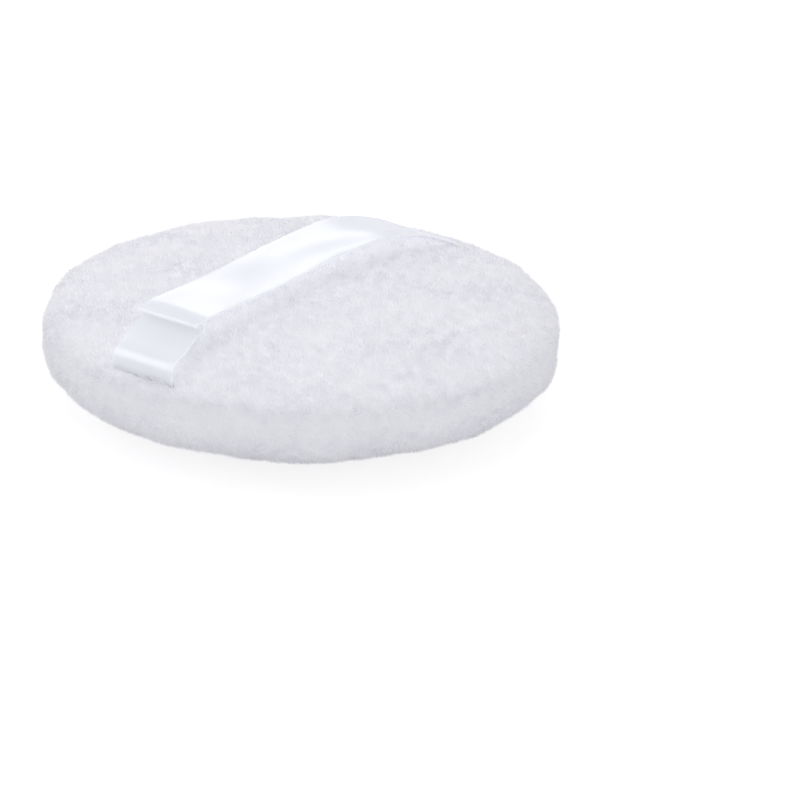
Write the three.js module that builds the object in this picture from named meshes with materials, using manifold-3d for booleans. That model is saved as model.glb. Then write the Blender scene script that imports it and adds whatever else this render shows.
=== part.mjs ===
// Round plush powder puff with a satin ribbon handle across its back.
// Millimetres, +Z up. The puff lies on its powder face and the ribbon runs along X.
// Every piece is drawn about the seam plane, and the finished group is then set on its powder face.

import * as THREE from 'three';
import { mergeVertices } from 'three/addons/utils/BufferGeometryUtils.js';
import Module from 'manifold-3d';

const wasm = await Module();
wasm.setup();

// Driving dimensions: the puff
const PUFF_DIAMETER = 104.5; // over the soft lumps, and about 103 between them
const FRONT_CROWN = 15.5; // seam plane to the powder face
const BACK_CROWN = 13.3; // seam plane to the crown under the ribbon
const CROWN_FULLNESS = 2.2; // 2 is an ellipse, more gives fuller shoulders
const REST_FLAT_DEPTH = 0.5; // the pile that gives way where the puff lies
const LUMP_DEPTH = 1.5; // deepest dip between the soft lumps of the hand-filled covers
const LUMP_WAVES = [
  { length: 19, heading: 20, climb: 30, phase: 320 },
  { length: 27, heading: 62, climb: -25, phase: 290 },
  { length: 22, heading: 98, climb: 20, phase: 30 },
  { length: 31, heading: 131, climb: -10, phase: 150 },
  { length: 24, heading: 170, climb: 35, phase: 110 },
];

// Driving dimensions: the plush covers and the seam that joins them
const PLUSH_AT_CROWN = 5;
const PLUSH_AT_RIM = 8.5;
const BACKING_CLOTH = 1.2;
const SEAM_ALLOWANCE = 6.5;
const SEAM_GROOVE_DEPTH = 1.5;
const SEAM_ROLL_HEIGHT = 3; // how far from the seam the rim is fullest
const PUCKER_DEPTH = 0.35;
const CLEARANCE = 0.3;
const FILLING_CLEARANCE = 0.5;

// Driving dimensions: the stitches
const STITCH_COUNT = 28;
const STITCH_INSET = 2.5; // from the seam's root to the line of stitches
const NEEDLE_HOLE = 1.6;
const THREAD_DIAMETER = 0.7;
const THREAD_END = 2.8; // free end past the last needle hole
const CLOSING_GAP = 45; // length of the gap left for turning and filling
const CLOSING_SIDE = 264; // degrees round from the ribbon's +X end to the middle of that gap

// Driving dimensions: the ribbon, which hangs slack at its -X end and lies snug at its +X end
const RIBBON_WIDTH = 15;
const RIBBON_THICKNESS = 0.4;
const RIBBON_CROWN_GAP = 4.6; // finger room over the crown
const RIBBON_PEAK = 13; // from the middle to the ribbon's highest place, towards its snug end
const RIBBON_SET_IN = 3.65; // from the rim to the foot of the ribbon, down in the pile
const RIBBON_TURN = 1.5; // length of the bend out of the seam
const RIBBON_TAIL = 10.2; // sewn length inside the seam
const SLACK_DROP = 1.6; // crown of the ribbon above its slack shoulder
const SLACK_LEAN = 4.2; // from the foot in to the shoulder fold
const SLACK_FOLD = 2; // length of the bends over the shoulder and over the lip below it
const LIP_REACH = 1.6; // how far the slack leg bulges out past its foot
const LIP_DROP = 5.8; // shoulder above that lip
const LEG_EASE = 3; // how strongly the slack leg keeps upright at its foot and under the lip
const SPAN_EASE = 18; // how far the span keeps level from its shoulder and from its peak
const SNUG_EASE = 6.2; // how strongly the snug end keeps upright at its foot
const SNUG_REACH = 27; // how far from the middle it keeps level
const SLOT_CLEARANCE = 0.4; // parted pile each side of the ribbon

// Mesh fineness
const DOME_RINGS = 8;
const ROLL_RINGS = 2;
const LINING_RINGS = 3;
const FILLING_COLUMNS = 44;
const THREAD_SIDES = 5;
const HOLE_SIDES = 8;
const BEND_STEPS = 7;

// Derived places, measured from the seam plane and the puff's axis
const PUFF_RADIUS = PUFF_DIAMETER / 2;
const SEAM_HEIGHT = FRONT_CROWN - REST_FLAT_DEPTH;
const LINING_RADIUS = PUFF_RADIUS - PLUSH_AT_RIM;
const STITCH_RADIUS = LINING_RADIUS - STITCH_INSET;
const ALLOWANCE_EDGE = LINING_RADIUS - SEAM_ALLOWANCE;
const COVER_FOOT = CLEARANCE / 2;
const ALLOWANCE_TOP = COVER_FOOT + BACKING_CLOTH;
const STITCH_ANGLE = (2 * Math.PI) / STITCH_COUNT;
const STITCH_PITCH = STITCH_ANGLE * STITCH_RADIUS;
const HOLE_HALF_ANGLE = NEEDLE_HOLE / 2 / STITCH_RADIUS;
const TAIL_LIFT = RIBBON_THICKNESS + CLEARANCE;
const TAIL_HEIGHT = -COVER_FOOT + CLEARANCE + RIBBON_THICKNESS / 2;
const RIBBON_FOOT = PUFF_RADIUS - RIBBON_SET_IN;
const RIBBON_CROWN = BACK_CROWN + RIBBON_CROWN_GAP + RIBBON_THICKNESS / 2;
const LEG_FOOT = TAIL_HEIGHT + RIBBON_TURN;
const CLOSING_ANGLE = THREE.MathUtils.degToRad(CLOSING_SIDE);
const CLOSING_STITCHES = Math.round(CLOSING_GAP / STITCH_PITCH);
const FIRST_CLOSING_STITCH = Math.round(CLOSING_ANGLE / STITCH_ANGLE - CLOSING_STITCHES / 2);

const PLUSH_WHITE = new THREE.MeshStandardMaterial({ color: 0xeceaf0, roughness: 0.95, metalness: 0 });
const SATIN_WHITE = new THREE.MeshStandardMaterial({ color: 0xf4f6f8, roughness: 0.35, metalness: 0 });
const WADDING_WHITE = new THREE.MeshStandardMaterial({ color: 0xf2f2ee, roughness: 1, metalness: 0 });
const THREAD_WHITE = new THREE.MeshStandardMaterial({ color: 0xe6e4e6, roughness: 0.6, metalness: 0 });

// Angle of a needle hole, counted round from the ribbon's +X end.
function stitchAngle(stitch) {
  return (stitch + 0.5) * STITCH_ANGLE;
}

// One point of a dome that springs upright at its radius and foot and closes level at its crown.
function domePoint(radius, foot, crown, angle) {
  const power = 2 / CROWN_FULLNESS;
  const across = Math.max(Math.cos(angle), 0) ** power;
  const up = Math.sin(angle) ** power;
  return { r: radius * across, z: foot + (crown - foot) * up };
}

// How deep the hand-filled covers dip at a place on a cover that lies crown up.
function lumpDip(x, y, z) {
  let sum = 0;
  for (const wave of LUMP_WAVES) {
    const heading = THREE.MathUtils.degToRad(wave.heading);
    const climb = THREE.MathUtils.degToRad(wave.climb);
    const level = x * Math.cos(heading) + y * Math.sin(heading);
    const along = level * Math.cos(climb) + z * Math.sin(climb);
    sum += Math.cos((2 * Math.PI * along) / wave.length + THREE.MathUtils.degToRad(wave.phase));
  }
  return (LUMP_DEPTH / 2) * (1 - sum / LUMP_WAVES.length);
}

// The outward direction of a cover's dome at one of its points, as radius and height.
function domeOutward(point, crown) {
  const height = crown - SEAM_ROLL_HEIGHT;
  const power = CROWN_FULLNESS - 1;
  const r = (point.r / PUFF_RADIUS) ** power / PUFF_RADIUS;
  const z = ((point.z - SEAM_ROLL_HEIGHT) / height) ** power / height;
  return new THREE.Vector2(r, z).normalize();
}

// The back cover's seam allowance rises over the ribbon's tails and lies flat beside them.
function tailLift(sideways) {
  const step = STITCH_PITCH / 2;
  const past = (Math.abs(sideways) - RIBBON_WIDTH / 2 - step) / step;
  return TAIL_LIFT * THREE.MathUtils.clamp(1 - past, 0, 1);
}

function indexedGeometry(positions, triangles) {
  const geometry = new THREE.BufferGeometry();
  geometry.setAttribute('position', new THREE.Float32BufferAttribute(positions, 3));
  geometry.setIndex(triangles);
  geometry.computeVertexNormals();
  return geometry;
}

function toSolid(geometry) {
  const bare = geometry.clone();
  bare.deleteAttribute('normal');
  bare.deleteAttribute('uv');
  const merged = mergeVertices(bare, 1e-4);
  return new wasm.Manifold(
    new wasm.Mesh({
      numProp: 3,
      vertProperties: new Float32Array(merged.attributes.position.array),
      triVerts: new Uint32Array(merged.index.array),
    }),
  );
}

function fromSolid(solid) {
  const mesh = solid.getMesh();
  return indexedGeometry(Array.from(mesh.vertProperties), Array.from(mesh.triVerts));
}

// Columns of a cover come in pairs, one pair to a stitch, and the gap in each pair can hold a needle hole.
function columnAngles(halfAngle) {
  const angles = [];
  for (let stitch = 0; stitch < STITCH_COUNT; stitch += 1) {
    angles.push(stitchAngle(stitch) - halfAngle, stitchAngle(stitch) + halfAngle);
  }
  return angles;
}

// The section of a cover, from the outside of its crown round the seam allowance to its lining.
// Each ring gives its radius and height, its share of the seam's puckers and of the lift over the ribbon's
// tails, the direction and share of its dips, and half the angle between its pairs of columns.
function coverSection(crown, flatDepth) {
  const section = [];
  const even = STITCH_ANGLE / 4;
  const flatShare = 1 - flatDepth / (crown - SEAM_ROLL_HEIGHT);
  const flatTurn = Math.asin(flatShare ** (CROWN_FULLNESS / 2));
  const topTurn = flatDepth > 0 ? flatTurn : (Math.PI / 2) * (1 - 1 / DOME_RINGS);
  for (let ring = DOME_RINGS - 1; ring >= 0; ring -= 1) {
    const turn = (topTurn * ring) / (DOME_RINGS - 1);
    const point = domePoint(PUFF_RADIUS, SEAM_ROLL_HEIGHT, crown, turn);
    const rests = flatDepth > 0 && ring === DOME_RINGS - 1;
    const dip = domeOutward(point, crown).multiplyScalar(rests ? 0 : 1);
    section.push({ ...point, dip, pucker: 0, lift: 0, halfAngle: even });
  }
  for (let ring = ROLL_RINGS - 1; ring >= 0; ring -= 1) {
    const turn = ((Math.PI / 2) * ring) / ROLL_RINGS;
    const r = PUFF_RADIUS - SEAM_GROOVE_DEPTH * (1 - Math.sin(turn));
    const z = COVER_FOOT + (SEAM_ROLL_HEIGHT - COVER_FOOT) * (1 - Math.cos(turn));
    const dip = new THREE.Vector2(1 - Math.cos(turn), 0);
    section.push({ r, z, dip, pucker: Math.cos(turn), lift: Math.cos(turn), halfAngle: even });
  }
  const firm = { dip: new THREE.Vector2(0, 0), pucker: 0, lift: 1 };
  const holeOuter = { ...firm, r: STITCH_RADIUS + NEEDLE_HOLE / 2, halfAngle: HOLE_HALF_ANGLE };
  const holeInner = { ...firm, r: STITCH_RADIUS - NEEDLE_HOLE / 2, halfAngle: HOLE_HALF_ANGLE };
  const rawEdge = { ...firm, r: ALLOWANCE_EDGE, halfAngle: even };
  for (const ring of [holeOuter, holeInner, rawEdge]) section.push({ ...ring, z: COVER_FOOT });
  for (const ring of [rawEdge, holeInner, holeOuter]) section.push({ ...ring, z: ALLOWANCE_TOP });
  for (let ring = 0; ring < LINING_RINGS; ring += 1) {
    const turn = ((Math.PI / 2) * ring) / LINING_RINGS;
    const point = domePoint(LINING_RADIUS, ALLOWANCE_TOP, crown - PLUSH_AT_CROWN, turn);
    section.push({ ...firm, ...point, lift: ring === 0 ? 1 : 0, halfAngle: even });
  }
  return section;
}

// A plush cover, crown up: a domed shell with its edge turned in and a needle hole at every stitch.
function coverGeometry(crown, flatDepth, caughtTails) {
  const section = coverSection(crown, flatDepth);
  const columns = 2 * STITCH_COUNT;
  const crownDip = flatDepth > 0 ? flatDepth : lumpDip(0, 0, crown);
  const positions = [0, 0, crown - crownDip];
  for (const point of section) {
    for (const angle of columnAngles(point.halfAngle)) {
      const depth = lumpDip(point.r * Math.cos(angle), point.r * Math.sin(angle), point.z);
      const pucker = PUCKER_DEPTH * point.pucker * Math.sin((angle * STITCH_COUNT) / 2);
      const r = point.r - pucker - depth * point.dip.x;
      const x = r * Math.cos(angle);
      const y = r * Math.sin(angle);
      const lift = caughtTails ? point.lift * tailLift(y) : 0;
      positions.push(x, y, point.z + lift - depth * point.dip.y);
    }
  }
  positions.push(0, 0, crown - PLUSH_AT_CROWN);

  const liningApex = positions.length / 3 - 1;
  const lastRing = section.length - 1;
  const underHole = DOME_RINGS + ROLL_RINGS;
  const upperHole = underHole + 4;
  const vertex = (ring, column) => 1 + ring * columns + (column % columns);
  const triangles = [];
  const quad = (a, b, c, d) => triangles.push(a, b, c, a, c, d);

  for (let column = 0; column < columns; column += 1) {
    const next = column + 1;
    const holed = column % 2 === 0;
    triangles.push(0, vertex(0, column), vertex(0, next));
    triangles.push(liningApex, vertex(lastRing, next), vertex(lastRing, column));
    for (let ring = 0; ring < lastRing; ring += 1) {
      if (holed && (ring === underHole || ring === upperHole)) continue;
      quad(vertex(ring, column), vertex(ring + 1, column), vertex(ring + 1, next), vertex(ring, next));
    }
    if (!holed) continue;
    const under = [[0, 0], [1, 0], [1, 1], [0, 1]].map(([r, c]) => vertex(underHole + r, column + c));
    const upper = [[1, 0], [0, 0], [0, 1], [1, 1]].map(([r, c]) => vertex(upperHole + r, column + c));
    for (let side = 0; side < 4; side += 1) {
      const after = (side + 1) % 4;
      quad(under[side], under[after], upper[after], upper[side]);
    }
  }
  return indexedGeometry(positions, triangles);
}

// The start of each half of the ribbon's line, in X and Z: along the seam and turned up at the foot.
function ribbonTail() {
  const line = new THREE.Path();
  line.moveTo(RIBBON_FOOT - RIBBON_TAIL, TAIL_HEIGHT);
  line.lineTo(RIBBON_FOOT - RIBBON_TURN, TAIL_HEIGHT);
  line.quadraticCurveTo(RIBBON_FOOT, TAIL_HEIGHT, RIBBON_FOOT, LEG_FOOT);
  return line;
}

// The slack half: up through the pile, out over a lip, in to a folded shoulder and on to the ribbon's peak.
function slackHalf() {
  const shoulder = new THREE.Vector2(RIBBON_FOOT - SLACK_LEAN, RIBBON_CROWN - SLACK_DROP);
  const lip = new THREE.Vector2(RIBBON_FOOT + LIP_REACH, shoulder.y - LIP_DROP);
  const peak = new THREE.Vector2(-RIBBON_PEAK, RIBBON_CROWN);
  const spanStart = new THREE.Vector2(shoulder.x - SLACK_FOLD, shoulder.y);
  const slope = shoulder.clone().sub(lip).normalize().multiplyScalar(SLACK_FOLD);
  const underLip = lip.clone().sub(new THREE.Vector2(0, SLACK_FOLD));
  const overLip = lip.clone().add(slope);
  const underFold = shoulder.clone().sub(slope);
  const line = ribbonTail();
  line.bezierCurveTo(RIBBON_FOOT, LEG_FOOT + LEG_EASE, underLip.x, underLip.y - LEG_EASE, underLip.x, underLip.y);
  line.quadraticCurveTo(lip.x, lip.y, overLip.x, overLip.y);
  line.lineTo(underFold.x, underFold.y);
  line.quadraticCurveTo(shoulder.x, shoulder.y, spanStart.x, spanStart.y);
  line.bezierCurveTo(
    spanStart.x - SPAN_EASE, spanStart.y,
    peak.x + SPAN_EASE, peak.y,
    peak.x, peak.y,
  );
  return line.getPoints(BEND_STEPS);
}

// The snug half: one arch from its foot in the pile to the ribbon's peak.
function snugHalf() {
  const line = ribbonTail();
  line.bezierCurveTo(RIBBON_FOOT, LEG_FOOT + SNUG_EASE, SNUG_REACH, RIBBON_CROWN, RIBBON_PEAK, RIBBON_CROWN);
  return line.getPoints(BEND_STEPS);
}

// A closed band of even thickness along a line of points.
function bandShape(line, thickness) {
  const sides = [1, -1].map((side) =>
    line.map((point, i) => {
      const before = line[Math.max(i - 1, 0)];
      const after = line[Math.min(i + 1, line.length - 1)];
      const along = after.clone().sub(before).normalize();
      const away = new THREE.Vector2(-along.y, along.x);
      return point.clone().addScaledVector(away, (side * thickness) / 2);
    }),
  );
  return new THREE.Shape([...sides[0], ...sides[1].reverse()]);
}

// Extrudes a shape drawn in X and Z to a width across Y.
function acrossPuff(shape, width) {
  const geometry = new THREE.ExtrudeGeometry(shape, { depth: width, bevelEnabled: false });
  geometry.rotateX(Math.PI / 2);
  geometry.translate(0, width / 2, 0);
  return geometry;
}

function needleHole(angle) {
  const depth = 2 * (ALLOWANCE_TOP + TAIL_LIFT);
  const geometry = new THREE.CylinderGeometry(NEEDLE_HOLE / 2, NEEDLE_HOLE / 2, depth, HOLE_SIDES);
  geometry.rotateX(Math.PI / 2);
  geometry.translate(STITCH_RADIUS * Math.cos(angle), STITCH_RADIUS * Math.sin(angle), TAIL_HEIGHT);
  return toSolid(geometry);
}

// The satin ribbon, with the needle holes of the stitches that catch its tails.
function ribbonGeometry() {
  const slackLine = slackHalf().map((point) => new THREE.Vector2(-point.x, point.y));
  const line = [...snugHalf(), ...slackLine.reverse().slice(1)];
  let solid = toSolid(acrossPuff(bandShape(line, RIBBON_THICKNESS), RIBBON_WIDTH));
  for (let stitch = 0; stitch < STITCH_COUNT; stitch += 1) {
    const sideways = Math.abs(STITCH_RADIUS * Math.sin(stitchAngle(stitch)));
    if (sideways < RIBBON_WIDTH / 2 + NEEDLE_HOLE) solid = solid.subtract(needleHole(stitchAngle(stitch)));
  }
  return fromSolid(solid);
}

// The room that half a ribbon's line takes in the pile, from the turn at its foot up to the crown.
function ribbonSlot(halfLine) {
  const inPile = halfLine.slice(1).filter((point) => point.y < BACK_CROWN);
  const slot = bandShape(inPile, RIBBON_THICKNESS + 2 * SLOT_CLEARANCE);
  return acrossPuff(slot, RIBBON_WIDTH + 2 * SLOT_CLEARANCE);
}

// The back cover, with its pile parted where the ribbon comes up out of the seam at each end.
function backCoverGeometry() {
  const slackSlot = ribbonSlot(slackHalf()).rotateZ(Math.PI);
  const snugSlot = ribbonSlot(snugHalf());
  const cover = toSolid(coverGeometry(BACK_CROWN, 0, true));
  return fromSolid(cover.subtract(toSolid(slackSlot)).subtract(toSolid(snugSlot)));
}

// The wadding fills both covers and closes round the seam allowance.
function fillingGeometry() {
  const grooveHalf = ALLOWANCE_TOP + TAIL_LIFT + THREAD_DIAMETER + 2 * CLEARANCE;
  const grooveRadius = ALLOWANCE_EDGE - FILLING_CLEARANCE;
  const halfProfile = (crown) => {
    const top = crown - PLUSH_AT_CROWN - FILLING_CLEARANCE;
    const points = [new THREE.Vector2(0, top)];
    for (let ring = LINING_RINGS - 1; ring >= 0; ring -= 1) {
      const turn = ((Math.PI / 2) * ring) / LINING_RINGS;
      const dome = domePoint(LINING_RADIUS - FILLING_CLEARANCE, ALLOWANCE_TOP, top, turn);
      const last = points[points.length - 1];
      const reached = Math.min((last.y - grooveHalf) / (last.y - dome.z), 1);
      points.push(last.clone().lerp(new THREE.Vector2(dome.r, dome.z), reached));
      if (reached < 1) break;
    }
    points.push(new THREE.Vector2(grooveRadius, grooveHalf));
    return points;
  };
  const upper = halfProfile(BACK_CROWN);
  const lower = halfProfile(FRONT_CROWN).map((point) => new THREE.Vector2(point.x, -point.y));
  return new THREE.LatheGeometry([...lower, ...upper.reverse()], FILLING_COLUMNS).rotateX(Math.PI / 2);
}

// The line of a running stitch that passes through the needle holes first to last.
function stitchLine(first, count) {
  const above = (angle) => {
    const lift = tailLift(STITCH_RADIUS * Math.sin(angle));
    return ALLOWANCE_TOP + lift + CLEARANCE + THREAD_DIAMETER / 2;
  };
  const below = () => -(ALLOWANCE_TOP + CLEARANCE + THREAD_DIAMETER / 2);
  const corner = THREAD_DIAMETER;
  const cornerAngle = corner / STITCH_RADIUS;
  const points = [];
  const add = (angle, z) => {
    points.push(new THREE.Vector3(STITCH_RADIUS * Math.cos(angle), STITCH_RADIUS * Math.sin(angle), z));
  };
  for (let i = 0; i < count; i += 1) {
    const angle = stitchAngle(first + i);
    const goesDown = i % 2 === 0;
    const from = goesDown ? above : below;
    const to = goesDown ? below : above;
    const drop = goesDown ? -1 : 1;
    if (i === 0) add(angle - THREAD_END / STITCH_RADIUS, from(angle));
    add(angle - cornerAngle, from(angle));
    add(angle, from(angle) + (drop * THREAD_DIAMETER) / 2);
    add(angle, to(angle) - (drop * THREAD_DIAMETER) / 2);
    add(angle + cornerAngle, to(angle));
    if (i === count - 1) add(angle + THREAD_END / STITCH_RADIUS, to(angle));
    else add(angle + STITCH_ANGLE / 2, to(angle + STITCH_ANGLE / 2));
  }
  return points;
}

// A closed tube with one ring at each point of a line, square to the bend there.
function tubeGeometry(line, radius, sides) {
  const positions = [];
  const triangles = [];
  const outward = new THREE.Vector3();
  const along = new THREE.Vector3();
  const across = new THREE.Vector3();
  line.forEach((point, i) => {
    const into = point.clone().sub(line[Math.max(i - 1, 0)]).normalize();
    const out = line[Math.min(i + 1, line.length - 1)].clone().sub(point).normalize();
    along.addVectors(into, out).normalize();
    outward.set(point.x, point.y, 0).normalize();
    across.crossVectors(along, outward).normalize();
    const stretch = 1 / Math.max(along.dot(i === 0 ? out : into), 0.5);
    for (let side = 0; side < sides; side += 1) {
      const turn = (2 * Math.PI * side) / sides;
      const ring = point.clone();
      ring.addScaledVector(outward, radius * Math.cos(turn));
      ring.addScaledVector(across, radius * stretch * Math.sin(turn));
      positions.push(ring.x, ring.y, ring.z);
    }
  });
  const last = (line.length - 1) * sides;
  for (let i = 0; i < last; i += sides) {
    for (let side = 0; side < sides; side += 1) {
      const next = (side + 1) % sides;
      triangles.push(i + side, i + next, i + sides + next);
      triangles.push(i + side, i + sides + next, i + sides + side);
    }
  }
  for (let side = 1; side < sides - 1; side += 1) {
    triangles.push(0, side + 1, side);
    triangles.push(last, last + side, last + side + 1);
  }
  return indexedGeometry(positions, triangles);
}

function threadGeometry(first, count) {
  return tubeGeometry(stitchLine(first, count), THREAD_DIAMETER / 2, THREAD_SIDES);
}

function piece(name, geometry, material) {
  const mesh = new THREE.Mesh(geometry, material);
  mesh.name = name;
  return mesh;
}

const frontCover = piece('front_cover', coverGeometry(FRONT_CROWN, REST_FLAT_DEPTH, false), PLUSH_WHITE);
frontCover.rotation.x = Math.PI;

const firstSeamStitch = FIRST_CLOSING_STITCH + CLOSING_STITCHES;
const seamStitches = STITCH_COUNT - CLOSING_STITCHES;

const puff = new THREE.Group();
puff.name = 'powder_puff';
puff.position.z = SEAM_HEIGHT;
puff.add(frontCover);
puff.add(piece('back_cover', backCoverGeometry(), PLUSH_WHITE));
puff.add(piece('filling', fillingGeometry(), WADDING_WHITE));
puff.add(piece('ribbon_handle', ribbonGeometry(), SATIN_WHITE));
puff.add(piece('seam_thread', threadGeometry(firstSeamStitch, seamStitches), THREAD_WHITE));
puff.add(piece('closing_thread', threadGeometry(FIRST_CLOSING_STITCH, CLOSING_STITCHES), THREAD_WHITE));

export default puff;
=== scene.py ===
"""A round plush powder puff with a satin ribbon across its back.

Metres, +Z up. The powder face rests on z = 0 and the ribbon runs along X, with its slack end at -X.
"""
import math

import bmesh
import bpy
import numpy as np
from mathutils import Matrix, Vector


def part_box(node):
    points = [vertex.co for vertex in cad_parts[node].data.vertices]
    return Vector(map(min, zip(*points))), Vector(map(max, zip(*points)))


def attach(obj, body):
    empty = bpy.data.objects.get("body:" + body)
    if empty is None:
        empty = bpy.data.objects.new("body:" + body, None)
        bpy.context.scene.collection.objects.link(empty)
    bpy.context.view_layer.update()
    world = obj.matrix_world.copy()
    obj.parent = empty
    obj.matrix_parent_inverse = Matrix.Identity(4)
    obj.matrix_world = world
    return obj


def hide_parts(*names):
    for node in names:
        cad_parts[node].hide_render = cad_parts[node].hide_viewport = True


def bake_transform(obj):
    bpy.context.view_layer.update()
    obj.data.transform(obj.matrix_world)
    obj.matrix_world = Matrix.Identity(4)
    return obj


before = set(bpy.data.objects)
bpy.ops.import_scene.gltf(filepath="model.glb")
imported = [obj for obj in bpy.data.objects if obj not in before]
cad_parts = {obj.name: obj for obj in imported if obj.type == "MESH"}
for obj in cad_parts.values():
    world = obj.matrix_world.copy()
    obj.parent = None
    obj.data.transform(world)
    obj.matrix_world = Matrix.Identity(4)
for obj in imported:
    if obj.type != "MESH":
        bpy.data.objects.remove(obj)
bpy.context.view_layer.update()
scene = bpy.context.scene

# Main sizes, with the heights of the seam and the rest flat taken from the frame
back_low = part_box("back_cover")[0]
front_low, front_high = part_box("front_cover")
SEAM_Z = (back_low.z + front_high.z) / 2
FRONT_DEPTH = SEAM_Z - front_low.z
BACK_CROWN = 0.0133
PUFF_RADIUS = 0.05225

# Section of the covers
CROWN_FULLNESS = 2.2
REST_FLAT_DEPTH = 0.0005
FRONT_CROWN = FRONT_DEPTH + REST_FLAT_DEPTH
SEAM_ROLL = 0.003
SEAM_GROOVE = 0.0005
SEAM_MOUTH = 0.000005  # where the pile of both covers meets
COVER_FOOT = 0.00015
ALLOWANCE_TOP = 0.00135
PLUSH_AT_CROWN = 0.005
PLUSH_AT_RIM = 0.0085
SEAM_ALLOWANCE = 0.0065
UNDERCOAT_DEPTH = 0.0003  # dense pile under the loose tips
LINING_RADIUS = PUFF_RADIUS - PLUSH_AT_RIM
SHELL_FLOOR = 0.0004  # least height of the lower pile over the table
SHELL_COLUMNS = 360
SHELL_SPACING = 0.0006
DOME_STEPS = 600
ROLL_STEPS = 60
UNDER_STEPS = 9
OVER_STEPS = 6
LINING_STEPS = 24

# Soft lumps of the hand-filled covers, as plane waves: length, then heading, climb and phase in degrees
LUMP_DEPTH = 0.0015
LUMP_WAVES = (
    (0.019, 20, 30, 320),
    (0.027, 62, -25, 290),
    (0.022, 98, 20, 30),
    (0.031, 131, -10, 150),
    (0.024, 170, 35, 110),
)
REST_EASE = 0.0008  # height over which the lumps fade out round the rest flat

# Noise, and what is uneven by it: height, length and seed
NOISE_WAVES = 24
NOISE_SPREAD = 0.3
COVER_RIPPLE = (0.00012, 0.008, 12)
UNDERCOAT_RIPPLE = (0.00006, 0.003, 13)
RIBBON_WAVE = (0.00012, 0.034, 21)
RIBBON_BUCKLE = (0.0003, 0.018, 22)  # between its edges

# Stitches through the seam allowances
STITCH_COUNT = 28
STITCH_INSET = 0.0025
STITCH_RADIUS = LINING_RADIUS - STITCH_INSET
NEEDLE_HOLE = 0.0016
NEEDLE_REACH = 0.0056  # length of a hole through both allowances

# Ribbon
RIBBON_WIDTH = 0.015
RIBBON_THICKNESS = 0.0004
RIBBON_COLUMNS = 25
CLOTH_SHARE = 0.8  # thickness between the selvedges, as a share of the ribbon's thickness
SELVEDGE = 0.1  # as a share of the half width
SELVEDGE_SWELL = 0.35
RIBBON_CUP = 0.0001  # how far its edges hang below its middle
SLOT_CLEARANCE = 0.0002
TAIL_LIFT = 0.0007
RIBBON_FOOT = 0.0486
RIBBON_TAIL = 0.0102
RIBBON_TURN = 0.0015
TAIL_HEIGHT = 0.00035
RIBBON_CROWN = 0.0181
RIBBON_PEAK = 0.013  # from the middle to the ribbon's highest place, towards its snug end
SLACK_DROP = 0.0024  # from the ribbon's crown down to its crease
SLACK_LEAN = 0.0062  # from the foot in to the crease
SLACK_FOLD = 0.0034  # how far the bend over the lip reaches to either side
LIP_REACH = 0.0017  # from the foot out to the corner of the lip
LIP_DROP = 0.0062  # from the crease down to that corner
LEG_EASE = 0.003
CREASE_RADIUS = 0.00025
SHOULDER = (-0.0045, 0.0008)  # from the crease to where the ribbon is level again
TUCK = (-0.0024, -0.0004)  # from the crease to the fold that is tucked in under it
TUCK_EASE = 0.0012
CLIMB = (-0.0019, 0.0015)  # the way that the leg climbs to that fold
FLARE = (-0.0019, 0.0007)  # the way that it leaves the lip
LEG_LEAN = (0.0005, 0.0026)  # the way that it comes up to the lip
SPAN_EASE = 0.018
SNUG_EASE = 0.0062
SNUG_REACH = 0.027
FALL_EASE = 0.001

# Steps along the parts of the ribbon
TAIL_STEPS = 8
TURN_STEPS = 10
LEG_STEPS = 40
LIP_STEPS = 16
RUN_STEPS = 50
FOLD_STEPS = 10
OUT_STEPS = 8
CREASE_STEPS = 12
FALL_STEPS = 12
SPAN_STEPS = 60
SNUG_STEPS = 70

# Pile
STRANDS_PER_COVER = 110000
PILE_PARTS = 4
PILE_SPACING = 0.0002
PILE_FLOOR = 0.0002
BACK_SEED = 100
FRONT_SEED = 200
STRAND_WIDTH = 0.00022
STRAND_RIDGE = 0.5  # as a share of its half width
ROOT_DEPTH = 0.0005
TIP_RISE = 0.00045
TUFT_RISE = 0.0001
STRAY_RISE = 0.00012
LAY_LEAN = 0.0003
LAY_SIZE = 0.02
TUFT_LEAN = 0.0004
TUFT_SIZE = 0.0034
STRAY_LEAN = 0.0006
SEAM_COMB = 0.0011  # how far the pile beside the seam reaches across it
SEAM_COVERED = 0.0014
LEG_COVER = 0.0009  # how much higher the pile stands against the ribbon's legs
LEG_COVER_REACH = 0.0016
RIBBON_MARGIN = 0.0003
MIDDLE_TONE = 0.5
PATCH_TONE = 0.12
PATCH_SIZE = 0.012
STRAY_TONE = 0.08
# Roots greyer than tips: painted shade deep in the pile
ROOT_SHADE_TONE = 0.35
TIP_TONE = 0.7
TONE_SPREAD = 0.6

# Filling
WAD_GAP = 0.0003
WAD_SINK = 0.0004
WAD_LUMP = 0.006
WAD_SEED = 31

# Light
LIGHT_THROUGH_SATIN = 0.66
FLOOR_REACH = 4
FLOOR_GREY = (0.8, 0.8, 0.8, 1)
SEEN_FLOOR_GREY = (0.3, 0.3, 0.3, 1)
SEEN_FLOOR_GLOW = 0.82
SKY_COLOUR = (0.95, 0.965, 1, 1)
SKY_STRENGTH = 0.605
PURE_WHITE = (1, 1, 1)
COOL_WHITE = (0.95, 0.97, 1)
GLEAM_WHITE = (0.97, 0.98, 1)

# View, read off the photograph's 800 pixel frame
FRAME_PIXELS = 800
PUFF_PIXEL = (301, 333.4)
PIXELS_PER_METRE = 4950
VIEW_AZIMUTH = -52.2
VIEW_ELEVATION = 21.8
VIEW_ROLL = 1.3
VIEW_DISTANCE = 1.6
SENSOR_WIDTH = 36

GOLDEN_ANGLE = math.pi * (3 - math.sqrt(5))
SHARP_TURN = math.radians(50)  # edges that turn further are shaded as corners


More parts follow.
